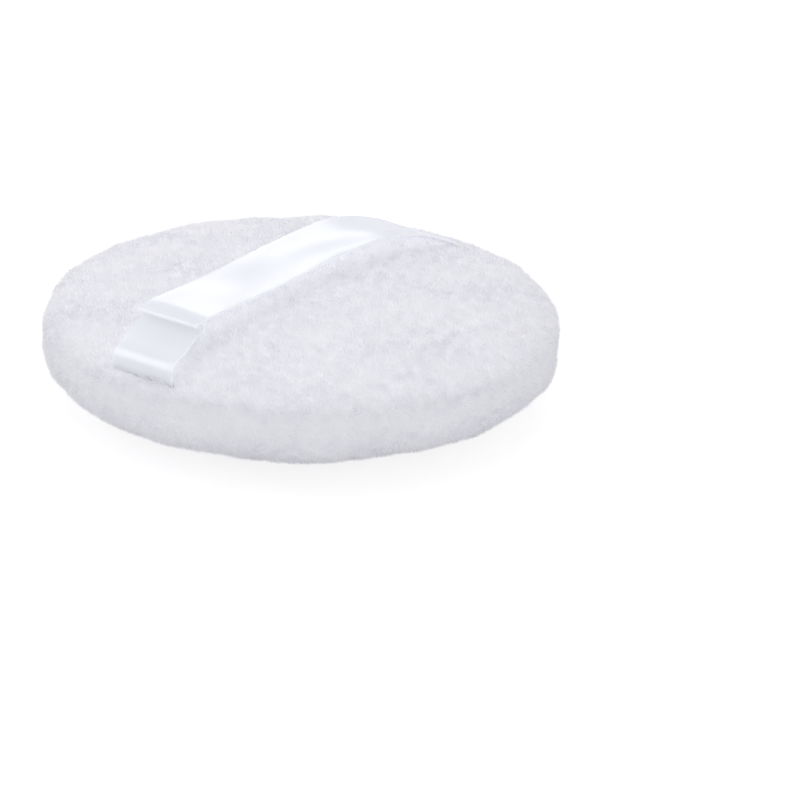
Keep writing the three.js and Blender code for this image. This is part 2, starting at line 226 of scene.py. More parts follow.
def smooth_noise(points, wavelength, seed):
    """Seeded noise of about unit size that rolls over about a wavelength."""
    rng = np.random.default_rng(seed)
    waves = rng.normal(size=(NOISE_WAVES, 3))
    waves *= 2 * math.pi / wavelength / np.linalg.norm(waves, axis=1, keepdims=True)
    waves *= rng.uniform(1 - NOISE_SPREAD, 1 + NOISE_SPREAD, size=(NOISE_WAVES, 1))
    phases = rng.uniform(0, 2 * math.pi, NOISE_WAVES)
    return np.cos(points @ waves.T + phases).sum(axis=1) / math.sqrt(NOISE_WAVES / 2)


def uneven(points, form):
    """Noise at points, from its height, length and seed."""
    height, length, seed = form
    return height * smooth_noise(points, length, seed)


def unit(vectors):
    """Vectors brought to length 1."""
    return vectors / np.maximum(np.linalg.norm(vectors, axis=1, keepdims=True), 1e-12)


def add_object(name, data):
    """A new object in the scene for a mesh, a lamp or a camera."""
    item = bpy.data.objects.new(name, data)
    scene.collection.objects.link(item)
    return item


def mesh_piece(name, points, faces, material):
    """A smooth-shaded piece from points and faces that all have the same number of corners."""
    mesh = bpy.data.meshes.new(name)
    corners = faces.shape[1]
    mesh.vertices.add(len(points))
    mesh.vertices.foreach_set("co", points.astype(np.float32).ravel())
    mesh.loops.add(faces.size)
    mesh.loops.foreach_set("vertex_index", faces.astype(np.int32).ravel())
    mesh.polygons.add(len(faces))
    mesh.polygons.foreach_set("loop_start", np.arange(0, faces.size, corners, dtype=np.int32))
    mesh.polygons.foreach_set("use_smooth", np.ones(len(faces), dtype=bool))
    mesh.update(calc_edges=True)
    mesh.validate()
    mesh.materials.append(material)
    return add_object(name, mesh)


def add_uv(piece, uv_of_point):
    """Gives the piece a map with one place for each of its points."""
    layer = piece.data.uv_layers.new(name="OFBake")
    corners = np.empty(len(piece.data.loops), dtype=np.int32)
    piece.data.loops.foreach_get("vertex_index", corners)
    layer.data.foreach_set("uv", uv_of_point[corners].astype(np.float32).ravel())


# Materials


def new_material(name, colour, **sockets):
    """A material and its shader, with the given values on the shader's sockets."""
    material = bpy.data.materials.new(name)
    material.use_nodes = True
    shader = material.node_tree.nodes["Principled BSDF"]
    shader.inputs["Base Color"].default_value = (*colour, 1)
    for socket, value in sockets.items():
        shader.inputs[socket.replace("_", " ")].default_value = value
    return material, shader


def add_node(material, kind, **values):
    """A new node in a material, with values on its sockets or on the node itself."""
    node = material.node_tree.nodes.new(kind)
    for key, value in values.items():
        if key in node.inputs:
            node.inputs[key].default_value = value
        else:
            setattr(node, key, value)
    return node


def link(material, output, socket):
    material.node_tree.links.new(output, socket)


def colour_ramp(material, factor, stops):
    """Colours spread over a factor, given as pairs of place and colour."""
    ramp = add_node(material, "ShaderNodeValToRGB")
    for element, (place, colour) in zip(ramp.color_ramp.elements, stops):
        element.position = place
        element.color = (*colour, 1)
    link(material, factor, ramp.inputs["Fac"])
    return ramp.outputs["Color"]


def add_bump(material, shader, height, strength, distance):
    """Fine relief on a shader from a height between 0 and 1."""
    bump = add_node(material, "ShaderNodeBump", Strength=strength, Distance=distance)
    link(material, height, bump.inputs["Height"])
    link(material, bump.outputs["Normal"], shader.inputs["Normal"])


def plush_material():
    """White pile, a little greyer at its roots as painted shade deep in the pile, and with a tone that
    differs in soft patches and from strand to strand.
    """
    material, shader = new_material(
        "plush", (0.9, 0.89, 0.92), Roughness=0.9,
        Sheen_Weight=0.25, Sheen_Roughness=0.5, Specular_IOR_Level=0.2,
    )
    # The tone attribute holds the strands' random tone and the painted shade at their roots
    tone = add_node(material, "ShaderNodeAttribute", attribute_name="tone")
    stops = [(0, (0.93, 0.925, 0.945)), (1, (0.98, 0.975, 0.985))]
    colour = colour_ramp(material, tone.outputs["Fac"], stops)
    link(material, colour, shader.inputs["Base Color"])
    return material


def undercoat_material():
    """The dense lower pile, seen between the strands."""
    material, shader = new_material(
        "undercoat", (0.88, 0.875, 0.9), Roughness=0.95, Sheen_Weight=0.2, Specular_IOR_Level=0.1
    )
    place = add_node(material, "ShaderNodeTexCoord")
    tufts = add_node(material, "ShaderNodeTexNoise", Scale=420, Detail=3)
    link(material, place.outputs["Object"], tufts.inputs["Vector"])
    stops = [(0.3, (0.94, 0.935, 0.955)), (0.7, (0.975, 0.97, 0.98))]
    colour = colour_ramp(material, tufts.outputs["Fac"], stops)
    link(material, colour, shader.inputs["Base Color"])
    add_bump(material, shader, tufts.outputs["Fac"], strength=0.6, distance=0.0006)
    return material


def satin_material():
    """Thin white satin with fine floats along the ribbon, which lets part of the light through."""
    material, shader = new_material(
        "satin", (0.89, 0.9, 0.915), Roughness=0.24,
        Sheen_Weight=0.1, Specular_IOR_Level=1, Anisotropic=0.4,
    )
    through = add_node(material, "ShaderNodeBsdfTranslucent", Color=(0.97, 0.975, 0.985, 1))
    thin = add_node(material, "ShaderNodeMixShader", Fac=LIGHT_THROUGH_SATIN)
    link(material, shader.outputs["BSDF"], thin.inputs[1])
    link(material, through.outputs["BSDF"], thin.inputs[2])
    link(material, thin.outputs["Shader"], material.node_tree.nodes["Material Output"].inputs["Surface"])
    across = add_node(material, "ShaderNodeTangent", direction_type="RADIAL", axis="X")
    link(material, across.outputs["Tangent"], shader.inputs["Tangent"])
    place = add_node(material, "ShaderNodeTexCoord")
    floats = add_node(material, "ShaderNodeTexWave", Scale=900, Distortion=0.6, Detail=1)
    floats.bands_direction = "Y"
    link(material, place.outputs["Object"], floats.inputs["Vector"])
    stops = [(0, (0.875, 0.885, 0.9)), (1, (0.9, 0.91, 0.925))]
    colour = colour_ramp(material, floats.outputs["Fac"], stops)
    link(material, colour, shader.inputs["Base Color"])
    add_bump(material, shader, floats.outputs["Fac"], strength=0.15, distance=0.00005)
    return material


def wadding_material():
    """Loose white fibre."""
    material, shader = new_material("wadding", (0.93, 0.93, 0.91), Roughness=1, Specular_IOR_Level=0.1)
    place = add_node(material, "ShaderNodeTexCoord")
    fibre = add_node(material, "ShaderNodeTexNoise", Scale=700, Detail=6, Distortion=1.5)
    link(material, place.outputs["Object"], fibre.inputs["Vector"])
    stops = [(0.3, (0.89, 0.89, 0.865)), (0.7, (0.95, 0.95, 0.93))]
    colour = colour_ramp(material, fibre.outputs["Fac"], stops)
    link(material, colour, shader.inputs["Base Color"])
    add_bump(material, shader, fibre.outputs["Fac"], strength=0.8, distance=0.0008)
    return material


def thread_material():
    """White sewing thread, with its ply."""
    material, shader = new_material("thread", (0.89, 0.88, 0.89), Roughness=0.6, Sheen_Weight=0.2)
    place = add_node(material, "ShaderNodeTexCoord")
    ply = add_node(material, "ShaderNodeTexWave", Scale=600, Distortion=0.4)
    ply.bands_direction = "DIAGONAL"
    link(material, place.outputs["Object"], ply.inputs["Vector"])
    stops = [(0, (0.83, 0.82, 0.83)), (1, (0.91, 0.9, 0.91))]
    colour = colour_ramp(material, ply.outputs["Fac"], stops)
    link(material, colour, shader.inputs["Base Color"])
    add_bump(material, shader, ply.outputs["Fac"], strength=0.5, distance=0.0001)
    return material


# Line of the ribbon


def bezier(controls, steps):
    """Points along a curve with three or four control points."""
    t = np.linspace(0, 1, steps + 1)[:, None]
    level = [np.asarray(c, dtype=float) for c in controls]
    while len(level) > 1:
        level = [a * (1 - t) + b * t for a, b in zip(level, level[1:])]
    return level[0]


def ribbon_half(points_ahead):
    """The tail of the ribbon in the seam and its turn up into the pile, then the points ahead."""
    foot = np.array([RIBBON_FOOT, TAIL_HEIGHT])
    tail = np.linspace(foot - (RIBBON_TAIL, 0), foot - (RIBBON_TURN, 0), TAIL_STEPS)
    turn = bezier([foot - (RIBBON_TURN, 0), foot, foot + (0, RIBBON_TURN)], TURN_STEPS)
    return np.vstack([tail, turn[1:], points_ahead])


def slack_half():
    """X and height of the ribbon's slack half.

    It goes up from its foot, out over a lip, in to a fold tucked under the crease, and on to the peak.
    """
    foot = np.array([RIBBON_FOOT, TAIL_HEIGHT + RIBBON_TURN])
    shoulder = np.array([RIBBON_FOOT - SLACK_LEAN, RIBBON_CROWN - SLACK_DROP])
    lip = np.array([RIBBON_FOOT + LIP_REACH, shoulder[1] - LIP_DROP])
    peak = np.array([-RIBBON_PEAK, RIBBON_CROWN])
    climb = np.array(CLIMB)
    flare = np.array(FLARE)
    upward = np.array(LEG_LEAN) / np.linalg.norm(LEG_LEAN)
    under_lip = lip - upward * SLACK_FOLD
    over_lip = lip + flare * (SLACK_FOLD / np.linalg.norm(flare))
    turn = np.linspace(-math.pi / 2, math.pi / 2, CREASE_STEPS + 1)
    crease = shoulder + CREASE_RADIUS * np.column_stack([np.cos(turn) - 1, np.sin(turn)])
    tuck = shoulder + TUCK
    outward = crease[0] - tuck
    under_tuck = tuck - climb * (TUCK_EASE / np.linalg.norm(climb))
    past_tuck = tuck + outward * (TUCK_EASE / np.linalg.norm(outward))
    droop = np.array(SHOULDER)
    span_start = shoulder + droop
    leg = bezier([foot, foot + (0, LEG_EASE), under_lip - upward * LEG_EASE, under_lip], LEG_STEPS)
    over = bezier([under_lip, lip, over_lip], LIP_STEPS)
    run = bezier([over_lip, over_lip + flare, under_tuck - climb, under_tuck], RUN_STEPS)
    fold = bezier([under_tuck, tuck, past_tuck], FOLD_STEPS)
    out = np.linspace(past_tuck, crease[0], OUT_STEPS)
    easing = span_start + (FALL_EASE, 0)
    fall = bezier([crease[-1], crease[-1] + droop / 2, easing, span_start], FALL_STEPS)
    span = bezier([span_start, span_start - (SPAN_EASE, 0), peak + (SPAN_EASE, 0), peak], SPAN_STEPS)
    parts = (leg, over, run, fold, out, crease, fall, span)
    return ribbon_half(np.vstack([part[1:] for part in parts]))


def snug_half():
    """X and height of the ribbon's snug half: one arch from its foot in the pile to the peak."""
    foot = np.array([RIBBON_FOOT, TAIL_HEIGHT + RIBBON_TURN])
    level = (SNUG_REACH, RIBBON_CROWN)
    arch = bezier([foot, foot + (0, SNUG_EASE), level, (RIBBON_PEAK, RIBBON_CROWN)], SNUG_STEPS)
    return ribbon_half(arch[1:])


def band(line, thickness):
    """Both faces of a band of even thickness along a line of X and height."""
    along = unit(np.gradient(line, axis=0))
    away = np.column_stack([-along[:, 1], along[:, 0]]) * thickness / 2
    return line + away, line - away


# Covers


def dome_line(radius, foot, crown, steps):
    """Radius and height along a dome, from its crown down to where it springs upright."""
    turn = np.linspace(math.pi / 2, 0, steps)
    power = 2 / CROWN_FULLNESS
    r = radius * np.maximum(np.cos(turn), 0) ** power
    h = foot + (crown - foot) * np.maximum(np.sin(turn), 0) ** power
    return np.column_stack([r, h])


def pile_line(crown, flat_depth, spacing):
    """The outer line of a cover at its mean pile height, evenly spaced from the crown to the seam."""
    dome = dome_line(PUFF_RADIUS, SEAM_ROLL, crown, DOME_STEPS)
    roll_h = np.linspace(SEAM_ROLL, SEAM_MOUTH, ROLL_STEPS)
    roll_r = PUFF_RADIUS - SEAM_GROOVE * np.cos(math.pi / 2 * roll_h / SEAM_ROLL) ** 2
    line = np.vstack([dome, np.column_stack([roll_r, roll_h])[1:]])
    line[:, 1] = np.minimum(line[:, 1], crown - flat_depth)
    along = np.concatenate([[0], np.cumsum(np.linalg.norm(np.diff(line, axis=0), axis=1))])
    places = np.linspace(0, along[-1], int(along[-1] / spacing) + 1)
    return np.column_stack([np.interp(places, along, line[:, 0]), np.interp(places, along, line[:, 1])])


def line_normals(line):
    """Outward normals of a section line that runs from the crown to the seam, as radius and height."""
    along = np.gradient(line, axis=0)
    return unit(np.column_stack([-along[:, 1], along[:, 0]]))


def around(radius, height, angle, side):
    """Points round the puff, on the back for side 1 and on the front for side -1."""
    return np.column_stack([radius * np.cos(angle), radius * np.sin(angle), SEAM_Z + side * height])


def lumps(points, side, flat_height):
    """How far a hand-filled cover swells past its even section, which is less than nothing in its dips."""
    height = side * (points[:, 2] - SEAM_Z)
    total = np.zeros(len(points))
    for length, heading, climb, phase in LUMP_WAVES:
        heading, climb, phase = np.radians([heading, climb, phase])
        level = points[:, 0] * math.cos(heading) + side * points[:, 1] * math.sin(heading)
        along = level * math.cos(climb) + height * math.sin(climb)
        total += np.cos(2 * math.pi * along / length + phase)
    dip = LUMP_DEPTH / 2 * (1 - total / len(LUMP_WAVES))
    over_seam = np.clip((height - COVER_FOOT) / (SEAM_ROLL - COVER_FOOT), 0, 1)
    off_rest = np.clip((flat_height - height) / REST_EASE, 0, 1) if side < 0 else 1
    return (uneven(points, COVER_RIPPLE) - dip * off_rest) * over_seam


def cutter_object(bm, name):
    """A cutter from a mesh in the making, which is used up."""
    mesh = bpy.data.meshes.new(name)
    bm.to_mesh(mesh)
    bm.free()
    return add_object(name, mesh)


def slot_cutter(half, end, name):
    """The room that one end of the ribbon takes in the pile: end is 1 at +X and -1 at -X."""
    in_pile = half[TAIL_STEPS - 1:]
    in_pile = in_pile[in_pile[:, 1] < BACK_CROWN]
    outer, inner = band(in_pile, RIBBON_THICKNESS + 2 * SLOT_CLEARANCE)
    outline = np.vstack([outer, inner[::-1]])
    half_width = RIBBON_WIDTH / 2 + SLOT_CLEARANCE
    bm = bmesh.new()
    corners = [bm.verts.new((end * x, -half_width, SEAM_Z + h)) for x, h in outline]
    face = bm.faces.new(corners)
    extruded = bmesh.ops.extrude_face_region(bm, geom=[face])["geom"]
    moved = [v for v in extruded if isinstance(v, bmesh.types.BMVert)]
    bmesh.ops.translate(bm, verts=moved, vec=(0, 2 * half_width, 0))
    bmesh.ops.triangulate(bm, faces=bm.faces[:])
    bmesh.ops.recalc_face_normals(bm, faces=bm.faces[:])
    return cutter_object(bm, name)


def hole_cutter(name):
    """A needle's width at every stitch, through both seam allowances."""
    bm = bmesh.new()
    for stitch in range(STITCH_COUNT):
        angle = (stitch + 0.5) * 2 * math.pi / STITCH_COUNT
        place = Vector((STITCH_RADIUS * math.cos(angle), STITCH_RADIUS * math.sin(angle), SEAM_Z))
        bmesh.ops.create_cone(
            bm, cap_ends=True, segments=12, radius1=NEEDLE_HOLE / 2, radius2=NEEDLE_HOLE / 2,
            depth=NEEDLE_REACH, matrix=Matrix.Translation(place),
        )
    return cutter_object(bm, name)


def cut(piece, cutters):
    """Takes the cutters out of a closed piece and removes them."""
    for cutter in cutters:
        modifier = piece.modifiers.new("cut", "BOOLEAN")
        modifier.solver = "MANIFOLD"
        modifier.operation = "DIFFERENCE"
        modifier.object = cutter
    bpy.context.view_layer.update()
    solid = piece.evaluated_get(bpy.context.evaluated_depsgraph_get())
    mesh = bpy.data.meshes.new_from_object(solid)
    piece.modifiers.clear()
    piece.data = mesh
    for cutter in cutters:
        bpy.data.objects.remove(cutter)


def tail_lift(sideways):
    """How far the back cover's allowance rises over the ribbon's tails."""
    step = math.pi * STITCH_RADIUS / STITCH_COUNT
    past = (np.abs(sideways) - RIBBON_WIDTH / 2 - step) / step
    return TAIL_LIFT * np.clip(1 - past, 0, 1)


def ring_faces(rows, columns, first, last):
    """Faces between rings of points, closed by a fan to the first point and one to the last."""
    ring = np.arange(columns)
    after = (ring + 1) % columns
    faces = []
    for k in range(rows - 1):
        a, b = k * columns, (k + 1) * columns
        faces += np.column_stack([a + ring, b + ring, b + after, a + after]).tolist()
    end = (rows - 1) * columns
    faces += np.column_stack([np.full(columns, first), ring, after]).tolist()
    faces += np.column_stack([np.full(columns, last), end + after, end + ring]).tolist()
    return faces


def cover_shell(name, side, crown, flat_depth, material):
    """The closed cloth and dense lower pile of a cover, with its edge turned in as seam allowance."""
    columns = SHELL_COLUMNS
    outer = pile_line(crown, flat_depth, SHELL_SPACING)
    normals = line_normals(outer)
    in_groove = np.clip((outer[:, 1] - SEAM_MOUTH) / SEAM_ROLL, 0, 1)
    outer = outer - normals * (UNDERCOAT_DEPTH * in_groove)[:, None]
    allowance_edge = LINING_RADIUS - SEAM_ALLOWANCE
    under_r = np.linspace(outer[-1, 0], allowance_edge, UNDER_STEPS + 1)[1:]
    over_r = np.linspace(allowance_edge, LINING_RADIUS, OVER_STEPS)
    under = np.column_stack([under_r, np.full(UNDER_STEPS, COVER_FOOT)])
    over = np.column_stack([over_r, np.full(OVER_STEPS, ALLOWANCE_TOP)])
    lining = dome_line(LINING_RADIUS, ALLOWANCE_TOP, crown - PLUSH_AT_CROWN, LINING_STEPS)[::-1]
    section = np.vstack([outer[1:], under, over, lining[1:-1]])
    lifted = np.zeros(len(section))
    allowance = slice(len(outer) - 1, len(outer) - 1 + len(under) + len(over))
    lifted[allowance] = 1 if side > 0 else 0

    angle = np.arange(columns) * 2 * math.pi / columns
    r = np.repeat(section[:, 0], columns)
    h = np.repeat(section[:, 1], columns)
    turn = np.tile(angle, len(section))
    points = around(r, h, turn, side)
    points[:, 2] += np.repeat(lifted, columns) * tail_lift(points[:, 1])
    count = (len(outer) - 1) * columns
    outward = np.repeat(normals[1:], columns, axis=0)
    swell = lumps(points[:count], side, crown - flat_depth)
    swell += uneven(points[:count], UNDERCOAT_RIPPLE) * np.repeat(in_groove[1:], columns)
    points[:count] += swell[:, None] * np.column_stack([
        outward[:, 0] * np.cos(turn[:count]), outward[:, 0] * np.sin(turn[:count]), side * outward[:, 1],
    ])
    points[:, 2] = np.maximum(points[:, 2], SHELL_FLOOR)

    crown_point = (0, 0, SEAM_Z + side * (crown - flat_depth - UNDERCOAT_DEPTH))
    lining_point = (0, 0, SEAM_Z + side * (crown - PLUSH_AT_CROWN))
    points = np.vstack([points, crown_point, lining_point])
    faces = ring_faces(len(section), columns, len(points) - 2, len(points) - 1)
    if side < 0:
        faces = [face[::-1] for face in faces]
    mesh = bpy.data.meshes.new(name)
    mesh.from_pydata(points.tolist(), [], faces)
    mesh.materials.append(material)
    return add_object(name, mesh)


# Pile


def spread(line, count, rng):
    """Places spread evenly over the surface that a line sweeps: place on the line and angle."""
    steps = np.linalg.norm(np.diff(line, axis=0), axis=1)
    areas = steps * (line[:-1, 0] + line[1:, 0])
    reach = np.concatenate([[0], np.cumsum(areas)])
    share = (np.arange(count) + rng.uniform(0, 1, count)) / count
    place = np.interp(share * reach[-1], reach, np.arange(len(line)))
    return place, np.arange(count) * GOLDEN_ANGLE % (2 * math.pi)


def legs_beside(points):
    """For both ends of the ribbon, its side along X and how far out its leg is at the points' heights."""
    for half, end in ((slack_half(), -1), (snug_half(), 1)):
        leg = half[half[:, 1] > TAIL_HEIGHT + RIBBON_TURN]
        yield end, np.interp(points[:, 2] - SEAM_Z, leg[:, 1], leg[:, 0])


def keep_off_ribbon(points, outside):
    """Moves points that have crossed the ribbon back to the side that their strand grows on."""
    near = np.abs(points[:, 1]) < RIBBON_WIDTH / 2 + RIBBON_MARGIN
    for end, at in legs_beside(points):
        x = end * points[:, 0]
        held = np.where(outside, np.maximum(x, at + RIBBON_MARGIN), np.minimum(x, at - RIBBON_MARGIN))
        points[:, 0] = np.where(near & (x > 0), end * held, points[:, 0])


def outside_ribbon(points):
    """Whether points lie past the ribbon's legs, towards the rim."""
    past = np.zeros(len(points), dtype=bool)
    for end, at in legs_beside(points):
        past |= end * points[:, 0] > at
    return past


def against_legs(points):
    """How close points on the pile are to the outer face of a leg of the ribbon, from 0 to 1 at the leg."""
    close = np.zeros(len(points))
    for end, at in legs_beside(points):
        past = end * points[:, 0] - at
        level = (past > 0) & (np.abs(points[:, 1]) < RIBBON_WIDTH / 2)
        close += np.where(level, np.clip(1 - past / LEG_COVER_REACH, 0, 1), 0)
    return close


def pile_strands(side, crown, flat_depth, seed):
    """Root and tip of every strand of a cover's pile, with its outward direction, angle and tone."""
    rng = np.random.default_rng(seed)
    line = pile_line(crown, flat_depth, PILE_SPACING)
    normals = line_normals(line)
    place, angle = spread(line, STRANDS_PER_COVER, rng)
    index = np.arange(len(line))
    r = np.interp(place, index, line[:, 0])
    h = np.interp(place, index, line[:, 1])
    normal_r = np.interp(place, index, normals[:, 0])
    normal_h = np.interp(place, index, normals[:, 1])
    points = around(r, h, angle, side)
    outward = unit(np.column_stack([normal_r * np.cos(angle), normal_r * np.sin(angle), side * normal_h]))
    points += lumps(points, side, crown - flat_depth)[:, None] * outward

    lay = np.column_stack([smooth_noise(points, LAY_SIZE, seed + k) for k in (1, 2, 3)])
    tuft = np.column_stack([smooth_noise(points, TUFT_SIZE, seed + k) for k in (4, 5, 6)])
    stray = rng.normal(size=points.shape)
    lean = LAY_LEAN * lay + TUFT_LEAN * tuft + STRAY_LEAN * stray
    lean -= np.sum(lean * outward, axis=1, keepdims=True) * outward
    lean[:, 2] -= side * SEAM_COMB * np.clip(1 - h / SEAM_COVERED, 0, 1)
    rise = TIP_RISE + uneven(points, (TUFT_RISE, TUFT_SIZE, seed + 7))
    rise += STRAY_RISE * rng.normal(size=len(points))
    root = points - ROOT_DEPTH * outward
    if side > 0:
        rise += LEG_COVER * against_legs(points)
    tip = points + rise[:, None] * outward + lean
    if side > 0:
        keep_off_ribbon(tip, outside_ribbon(root))
    root[:, 2] = np.maximum(root[:, 2], PILE_FLOOR)
    tip[:, 2] = np.maximum(tip[:, 2], PILE_FLOOR)
    tone = MIDDLE_TONE + uneven(points, (PATCH_TONE, PATCH_SIZE, seed + 8))
    tone += STRAY_TONE * rng.normal(size=len(points))
    return root, tip, outward, angle, tone


def strand_mesh(name, root, tip, outward, tone, material):
    """Closed three-sided strands, each with its ridge outward, that taper to their tips."""
    count = len(root)
    along = unit(tip - root)
    sideways = unit(np.cross(along, outward))
    top = np.cross(sideways, along)
    half = STRAND_WIDTH / 2
    ridge = root + STRAND_RIDGE * half * top
    points = np.stack([root + half * sideways, ridge, root - half * sideways, tip], axis=1)
    strand = np.array([(0, 1, 2), (1, 0, 3), (2, 1, 3), (0, 2, 3)])
    faces = (np.arange(count)[:, None, None] * points.shape[1] + strand).reshape(-1, 3)
    piece = mesh_piece(name, points.reshape(-1, 3), faces, material)
    piece.data.shade_flat()

    # Roots are painted greyer than tips as painted shade deep in the pile, on top of the random tone
    root_shade_of_corner = np.array([ROOT_SHADE_TONE, ROOT_SHADE_TONE, ROOT_SHADE_TONE, TIP_TONE])
    shade = piece.data.attributes.new("tone", "FLOAT", "POINT")
    tones_and_root_shade = np.clip(root_shade_of_corner[None, :] + TONE_SPREAD * (tone[:, None] - MIDDLE_TONE), 0, 1)
    shade.data.foreach_set("value", tones_and_root_shade.astype(np.float32).ravel())

    cells = math.ceil(math.sqrt(count))
    cell = np.column_stack([np.arange(count) % cells, np.arange(count) // cells])
    in_cell = np.array([(0.2, 0.2), (0.5, 0.2), (0.8, 0.2), (0.5, 0.8)])
    add_uv(piece, ((cell[:, None, :] + in_cell[None]) / cells).reshape(-1, 2))
    return piece


def cover_pile(name, side, crown, flat_depth, seed, material):
    """The loose pile of a cover, in parts round the puff."""
    root, tip, outward, angle, tone = pile_strands(side, crown, flat_depth, seed)
    part_of = (angle / (2 * math.pi) * PILE_PARTS).astype(int)
    pieces = []
    for part in range(PILE_PARTS):
        mine = part_of == part
        strands = (root[mine], tip[mine], outward[mine], tone[mine])
        pieces.append(strand_mesh(f"{name}_{part + 1}", *strands, material))
    return pieces


# Ribbon


def ribbon_line():
    """X and height along the whole ribbon, from its slack tail to its snug tail."""
    slack = slack_half() * (-1, 1)
    return np.vstack([slack, snug_half()[::-1][1:]])


def sheet_faces(columns, n):
    """Faces of a closed sheet from lines of n points along it, the upper face's first."""
    loop = list(range(columns)) + list(range(2 * columns - 1, columns - 1, -1))
    faces = []
    step = np.arange(n - 1)
    for a, b in zip(loop, loop[1:] + loop[:1]):
        faces.append(np.column_stack([a * n + step, a * n + step + 1, b * n + step + 1, b * n + step]))
    for end, flip in ((0, False), (n - 1, True)):
        for k in range(columns - 1):
            quad = [k * n + end, (k + 1) * n + end, (columns + k + 1) * n + end, (columns + k) * n + end]
            faces.append(np.array([quad[::-1] if flip else quad]))
    return np.vstack(faces)


def ribbon_piece(material):
    """The ribbon as a closed sheet with firm edges, a little uneven along its free span, and its length."""
    line = ribbon_line()
    along = np.concatenate([[0], np.cumsum(np.linalg.norm(np.diff(line, axis=0), axis=1))])
    across = np.linspace(-1, 1, RIBBON_COLUMNS)
    upper, lower = band(line, 1)
    away = upper - lower
    free = np.clip((line[:, 1] - BACK_CROWN) / (RIBBON_CROWN - BACK_CROWN), 0, 1)
    rows = []
    for face in (1, -1):
        for v in across:
            edge = 1 + SELVEDGE_SWELL * max(0, (abs(v) - (1 - SELVEDGE)) / SELVEDGE)
            place = np.column_stack([line[:, 0], np.full(len(line), v * RIBBON_WIDTH / 2), line[:, 1]])
            wave = uneven(place, RIBBON_WAVE) + uneven(place, RIBBON_BUCKLE) * (1 - v * v)
            offset = face * RIBBON_THICKNESS / 2 * edge * CLOTH_SHARE + free * (wave - RIBBON_CUP * v * v)
            row = place + offset[:, None] * np.column_stack([away[:, 0], np.zeros(len(line)), away[:, 1]])
            rows.append(row + (0, 0, SEAM_Z))
    faces = sheet_faces(RIBBON_COLUMNS, len(line))
    piece = mesh_piece("satin_ribbon", np.vstack(rows), faces, material)
    bm = bmesh.new()
    bm.from_mesh(piece.data)
    bmesh.ops.recalc_face_normals(bm, faces=bm.faces[:])
    bm.to_mesh(piece.data)
    bm.free()
    piece.data.set_sharp_from_angle(angle=SHARP_TURN)
    return piece, along[-1]


# Filling and threads


def wadding_piece(material):
    """The filling as a soft lumpy wad, within the room that the frame keeps for it."""
    bm = bmesh.new()
    bm.from_mesh(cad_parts["filling"].data)
    bmesh.ops.remove_doubles(bm, verts=bm.verts[:], dist=1e-6)
    bmesh.ops.subdivide_edges(bm, edges=bm.edges[:], cuts=2, use_grid_fill=True)
    bm.normal_update()
    places = np.array([v.co for v in bm.verts])
    sink = WAD_GAP + WAD_SINK * np.clip(smooth_noise(places, WAD_LUMP, WAD_SEED) + 1, 0, 2)
    for vertex, depth in zip(bm.verts, sink):
        vertex.co -= vertex.normal * depth
    mesh = bpy.data.meshes.new("wadding")
    bm.to_mesh(mesh)
    bm.free()
    mesh.shade_smooth()
    mesh.materials.append(material)
    return add_object("wadding", mesh)


# Studio


def white_to_camera(tree, plain, white, output):
    """Shows white to the camera and to mirrors, and the plain shader to all other light."""
    nodes, links = tree.nodes, tree.links
    path = nodes.new("ShaderNodeLightPath")
    seen = nodes.new("ShaderNodeMath")
    seen.operation = "MAXIMUM"
    links.new(path.outputs["Is Camera Ray"], seen.inputs[0])
    links.new(path.outputs["Is Glossy Ray"], seen.inputs[1])
    any_seen = nodes.new("ShaderNodeMath")
    any_seen.operation = "MAXIMUM"
    links.new(seen.outputs[0], any_seen.inputs[0])
    links.new(path.outputs["Is Transmission Ray"], any_seen.inputs[1])
    mix = nodes.new("ShaderNodeMixShader")
    links.new(any_seen.outputs[0], mix.inputs["Fac"])
    links.new(plain, mix.inputs[1])
    links.new(white, mix.inputs[2])
    links.new(mix.outputs[0], output.inputs["Surface"])


def studio_floor():
    """A plain pale floor that keeps the puff's soft shadow."""
    mesh = bpy.data.meshes.new("floor")
    corners = [(x * FLOOR_REACH, y * FLOOR_REACH, 0) for x, y in ((-1, -1), (1, -1), (1, 1), (-1, 1))]
    mesh.from_pydata(corners, [], [(0, 1, 2, 3)])
    floor = add_object("floor", mesh)
    material = bpy.data.materials.new("floor")
    material.use_nodes = True
    tree = material.node_tree
    tree.nodes.clear()
    output = tree.nodes.new("ShaderNodeOutputMaterial")
    plain = tree.nodes.new("ShaderNodeBsdfDiffuse")
    plain.inputs["Color"].default_value = FLOOR_GREY
    dim = tree.nodes.new("ShaderNodeBsdfDiffuse")
    dim.inputs["Color"].default_value = SEEN_FLOOR_GREY
    glow = tree.nodes.new("ShaderNodeEmission")
    glow.inputs["Strength"].default_value = SEEN_FLOOR_GLOW
    white = tree.nodes.new("ShaderNodeAddShader")
    tree.links.new(dim.outputs[0], white.inputs[0])
    tree.links.new(glow.outputs[0], white.inputs[1])
    white_to_camera(tree, plain.outputs[0], white.outputs[0], output)
    mesh.materials.append(material)


def studio_world():
    """Even light from all round, in front of a white backdrop."""
    world = bpy.data.worlds.new("studio")
    scene.world = world
    world.use_nodes = True
    tree = world.node_tree
    tree.nodes.clear()
    output = tree.nodes.new("ShaderNodeOutputWorld")
    plain = tree.nodes.new("ShaderNodeBackground")
    plain.inputs["Color"].default_value = SKY_COLOUR
    plain.inputs["Strength"].default_value = SKY_STRENGTH
    white = tree.nodes.new("ShaderNodeBackground")
    white.inputs["Color"].default_value = (*PURE_WHITE, 1)
    white.inputs["Strength"].default_value = 1
    white_to_camera(tree, plain.outputs[0], white.outputs[0], output)


def soft_lamp(name, place, size, power, colour):
    """A square softbox that faces the puff."""
    data = bpy.data.lights.new(name, "AREA")
    data.size = size
    data.energy = power
    data.color = colour
    lamp = add_object(name, data)
    lamp.location = place
    lamp.rotation_euler = (Vector((0, 0, SEAM_Z)) - Vector(place)).to_track_quat("-Z", "Y").to_euler()
    return lamp


